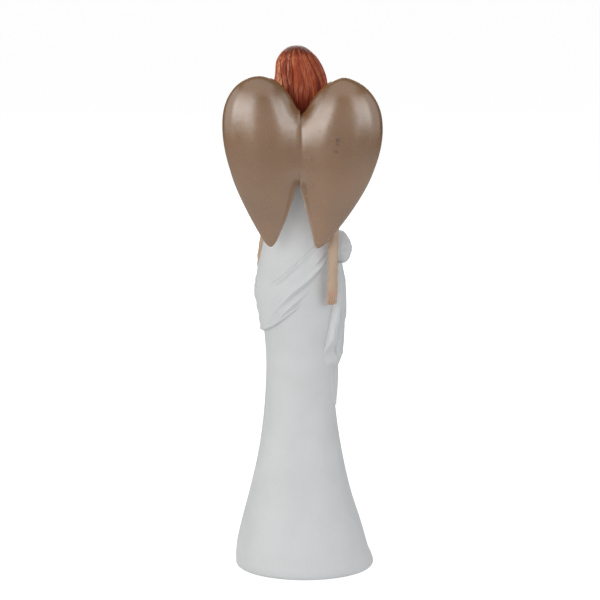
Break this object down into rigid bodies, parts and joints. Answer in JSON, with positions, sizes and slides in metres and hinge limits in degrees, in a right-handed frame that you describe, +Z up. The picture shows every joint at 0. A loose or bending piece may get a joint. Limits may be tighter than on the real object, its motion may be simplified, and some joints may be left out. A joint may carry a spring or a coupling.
{
  "type": "resin angel figurine",
  "caption": "Standing figure in a long draped gown, with long hair and heart-shaped wings pinned to its back; free-standing.",
  "frame": {"origin": "middle of the flat felt face that the figurine rests on", "axes": "+Z up along the figure's height; the figure faces -Y; +X is the figure's left-hand side"},
  "size_m": [0.0604, 0.05, 0.201],
  "materials": {
    "gown_paint": "matte",
    "wrap_paint": "matte",
    "skin_paint": "matte",
    "hair_paint": "satin",
    "wing_paint": "satin",
    "pin_steel": "satin",
    "felt": "matte"
  },
  "bodies": {
    "root": {"gown": "gown_paint", "hip_wrap": "wrap_paint", "wrap_knot": "wrap_paint", "wrap_tail": "wrap_paint", "bust": "skin_paint", "head": "skin_paint", "left_arm": "skin_paint", "right_arm": "skin_paint", "hair": "hair_paint", "left_wing": "wing_paint", "right_wing": "wing_paint", "bust_pin": "pin_steel", "neck_pin": "pin_steel", "left_arm_pin": "pin_steel", "right_arm_pin": "pin_steel", "left_wing_lower_pin": "pin_steel", "left_wing_upper_pin": "pin_steel", "right_wing_lower_pin": "pin_steel", "right_wing_upper_pin": "pin_steel", "base_felt": "felt"}
  },
  "joints": []
}
